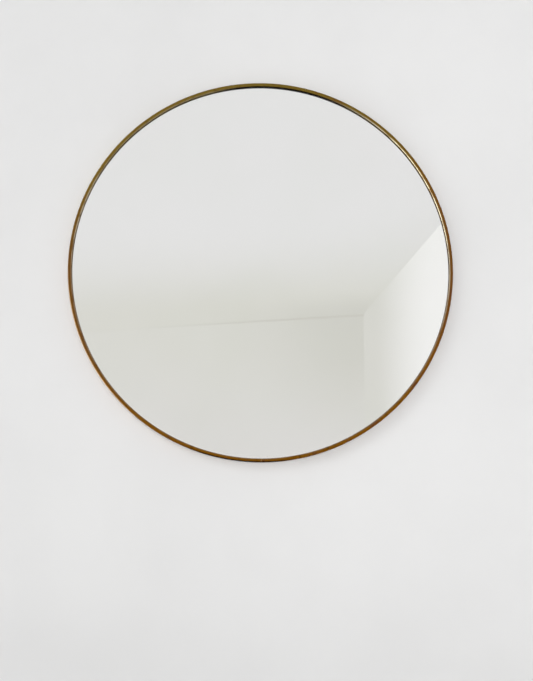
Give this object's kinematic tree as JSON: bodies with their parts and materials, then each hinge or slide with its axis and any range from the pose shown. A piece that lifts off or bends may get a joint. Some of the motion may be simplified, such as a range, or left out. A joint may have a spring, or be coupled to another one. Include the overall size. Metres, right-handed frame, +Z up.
{
  "type": "round mirror",
  "caption": "Round wall mirror in a thin brass ring frame, with a plywood back and a strap hanger whose D-ring swings.",
  "frame": {"origin": "on the ring's axis, in the plane of the wall that the frame's rear rim lies on", "axes": "+X to the viewer's right, +Y into the wall, +Z up; the mirror faces -Y"},
  "size_m": [0.7, 0.024, 0.6999],
  "materials": {
    "aged_brass": "old lacquer-free brass, dulled and stained brown",
    "plain_brass": "dull brass",
    "mirror": "clear glass, silvered and painted on the back",
    "cork": "pressed cork",
    "card": "grey-brown card",
    "plywood": "bare birch plywood, aged",
    "plated_steel": "nickel-plated steel, dulled"
  },
  "bodies": {
    "mirror": {"brass_frame": "aged_brass", "joint_plate": "plain_brass", "joint_rivets": "plain_brass", "mirror_glass": "mirror", "edge_spacers": "cork", "packing_card": "card", "back_board": "plywood", "frame_screws": "plain_brass", "hanger_strap": "plated_steel", "hanger_screws": "plated_steel", "cork_bumpers": "cork"},
    "ring": {"hanging_ring": "plated_steel"}
  },
  "joints": [
    {"name": "hanging_ring_swing", "type": "hinge", "parent": "mirror", "child": "ring", "pos_m": [0, -0.00424, 0.275], "axis": [-1, 0, 0], "range_deg": [-3, 179]}
  ]
}
